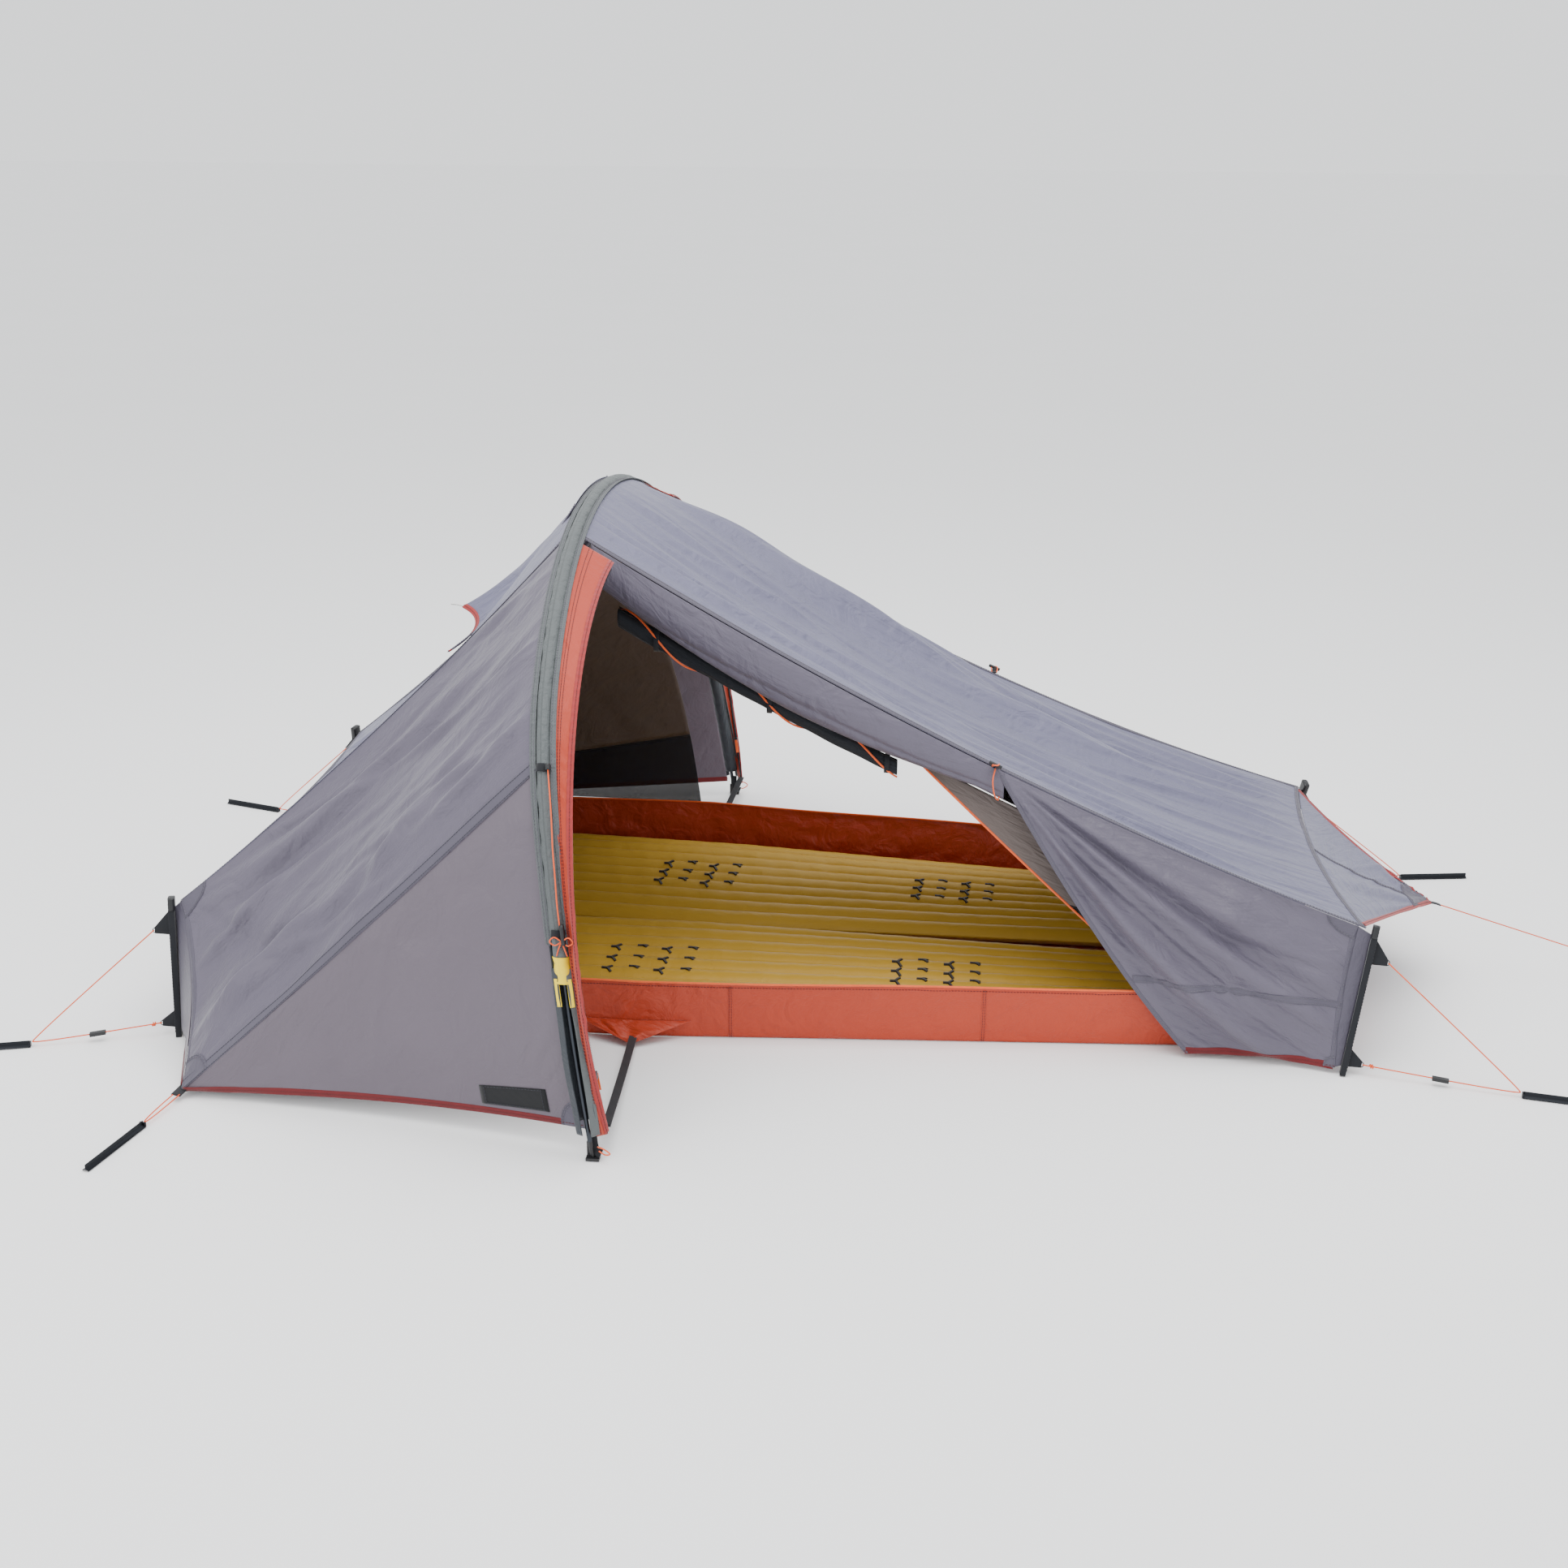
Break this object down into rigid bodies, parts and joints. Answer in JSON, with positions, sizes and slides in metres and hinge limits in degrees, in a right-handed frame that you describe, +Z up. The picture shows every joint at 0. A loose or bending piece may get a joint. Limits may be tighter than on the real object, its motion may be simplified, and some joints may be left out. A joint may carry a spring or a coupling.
{
  "type": "trekking tent",
  "caption": "Low single-hoop two-person trekking tent, pitched with both side doors tied back, with two tapered air mats inside, guys and pegs laid out.",
  "frame": {"origin": "on the ground, midway between the two feet of the hoop, on the floor's underside", "axes": "+X from the head end to the foot end, -Y towards the near door, +Z up"},
  "size_m": [3.6059, 2.2062, 1.0038],
  "materials": {
    "fly_fabric": "silicone-coated ripstop, grey-violet, faint sheen",
    "sleeve_fabric": "dark blue-grey ripstop, double layer",
    "strip_fabric": "orange coated nylon",
    "tub_fabric": "orange-red polyurethane-coated nylon",
    "inner_fabric": "thin dark breathable polyester",
    "inner_mesh": "black insect mesh",
    "mat_fabric": "ochre laminated nylon, matt",
    "valve_plastic": "grey moulded",
    "pole_alloy": "anodised, satin",
    "elastic": "braided elastic",
    "webbing": "black polyester webbing",
    "strut_plastic": "pultruded fibreglass",
    "foot_plastic": "black moulded",
    "warning_tape": "yellow coated tape",
    "zip_metal": "black enamelled slider",
    "pull_cord": "orange pull tape",
    "guy_cord": "braided orange cord",
    "peg_alloy": "dark anodised"
  },
  "bodies": {
    "root": {"door_zips": "foot_plastic", "fly_beak": "fly_fabric", "fly_door_gathered_far": "fly_fabric", "fly_door_gathered_near": "fly_fabric", "fly_door_hanging_far": "fly_fabric", "fly_door_hanging_near": "fly_fabric", "fly_door_strip_far": "strip_fabric", "fly_door_strip_near": "strip_fabric", "fly_head_end": "fly_fabric", "fly_head_lower_far": "fly_fabric", "fly_head_lower_near": "fly_fabric", "fly_head_upper_far": "fly_fabric", "fly_head_upper_near": "fly_fabric", "fly_hoop_sleeve": "sleeve_fabric", "fly_roof_foot": "fly_fabric", "fly_roof_head": "fly_fabric", "fly_vent_hood": "fly_fabric", "guy_beak": "guy_cord", "guy_corner_far": "guy_cord", "guy_corner_near": "guy_cord", "guy_foot_far": "guy_cord", "guy_foot_near": "guy_cord", "guy_head_far": "guy_cord", "guy_head_near": "guy_cord", "guy_stowed_far": "guy_cord", "guy_stowed_near": "guy_cord", "inner_ends": "inner_fabric", "inner_floor": "tub_fabric", "inner_mesh_roll_far": "inner_mesh", "inner_mesh_roll_near": "inner_mesh", "inner_roof": "inner_fabric", "inner_side_walls": "inner_fabric", "inner_tub_walls": "tub_fabric", "mat_far": "mat_fabric", "mat_near": "mat_fabric", "mat_valves": "valve_plastic", "pegs": "peg_alloy", "pole_ferrules": "pole_alloy", "pole_foot_ladders": "foot_plastic", "pole_section_1": "pole_alloy", "pole_section_2": "pole_alloy", "pole_section_3": "pole_alloy", "pole_section_4": "pole_alloy", "pole_section_5": "pole_alloy", "pole_shock_cord": "elastic", "pole_tips": "pole_alloy", "sleeve_cuffs": "warning_tape", "strut_covers": "webbing", "strut_rods": "strut_plastic", "tub_tie_straps": "webbing"},
    "adjuster_head_near": {"adjuster_head_near": "foot_plastic"},
    "adjuster_head_far": {"adjuster_head_far": "foot_plastic"},
    "adjuster_foot_near": {"adjuster_foot_near": "foot_plastic"},
    "adjuster_foot_far": {"adjuster_foot_far": "foot_plastic"},
    "zip_slider_near": {"zip_slider_near": "zip_metal"},
    "zip_pull_near": {"zip_pull_near": "pull_cord"},
    "door_toggle_near": {"door_toggle_near": "foot_plastic"},
    "zip_slider_far": {"zip_slider_far": "zip_metal"},
    "zip_pull_far": {"zip_pull_far": "pull_cord"},
    "door_toggle_far": {"door_toggle_far": "foot_plastic"}
  },
  "joints": [
    {"name": "adjuster_head_near_slide", "type": "slide", "parent": "root", "child": "adjuster_head_near", "axis": [0.9474, 0.306, 0.0936], "range_m": [-0.07, 0.07]},
    {"name": "adjuster_head_far_slide", "type": "slide", "parent": "root", "child": "adjuster_head_far", "axis": [0.9474, -0.306, 0.0936], "range_m": [-0.07, 0.07]},
    {"name": "adjuster_foot_near_slide", "type": "slide", "parent": "root", "child": "adjuster_foot_near", "axis": [-0.9797, 0.191, 0.0605], "range_m": [-0.07, 0.07]},
    {"name": "adjuster_foot_far_slide", "type": "slide", "parent": "root", "child": "adjuster_foot_far", "axis": [-0.9797, -0.191, 0.0605], "range_m": [-0.07, 0.07]},
    {"name": "zip_slider_near_travel", "type": "hinge", "parent": "root", "child": "zip_slider_near", "pos_m": [0.03758, -0.23997, 0.21018], "axis": [0.9894, -0.0553, 0.1343], "range_deg": [-82.7, 2.9]},
    {"name": "zip_pull_near_swing", "type": "hinge", "parent": "zip_slider_near", "child": "zip_pull_near", "pos_m": [0.00561, -0.94358, 0.156], "axis": [0.9894, -0.0553, 0.1343], "range_deg": [0, 150]},
    {"name": "door_toggle_near_turn", "type": "hinge", "parent": "root", "child": "door_toggle_near", "pos_m": [0.67109, -0.35064, 0.54425], "axis": [0.159, -0.8558, 0.4922], "range_deg": [0, 90]},
    {"name": "zip_slider_far_travel", "type": "hinge", "parent": "root", "child": "zip_slider_far", "pos_m": [0.03758, 0.23997, 0.21018], "axis": [-0.9894, -0.0553, -0.1343], "range_deg": [-82.7, 2.9]},
    {"name": "zip_pull_far_swing", "type": "hinge", "parent": "zip_slider_far", "child": "zip_pull_far", "pos_m": [0.00561, 0.94358, 0.156], "axis": [-0.9894, -0.0553, -0.1343], "range_deg": [0, 150]},
    {"name": "door_toggle_far_turn", "type": "hinge", "parent": "root", "child": "door_toggle_far", "pos_m": [0.67109, 0.35064, 0.54425], "axis": [-0.159, -0.8558, -0.4922], "range_deg": [0, 90]}
  ]
}
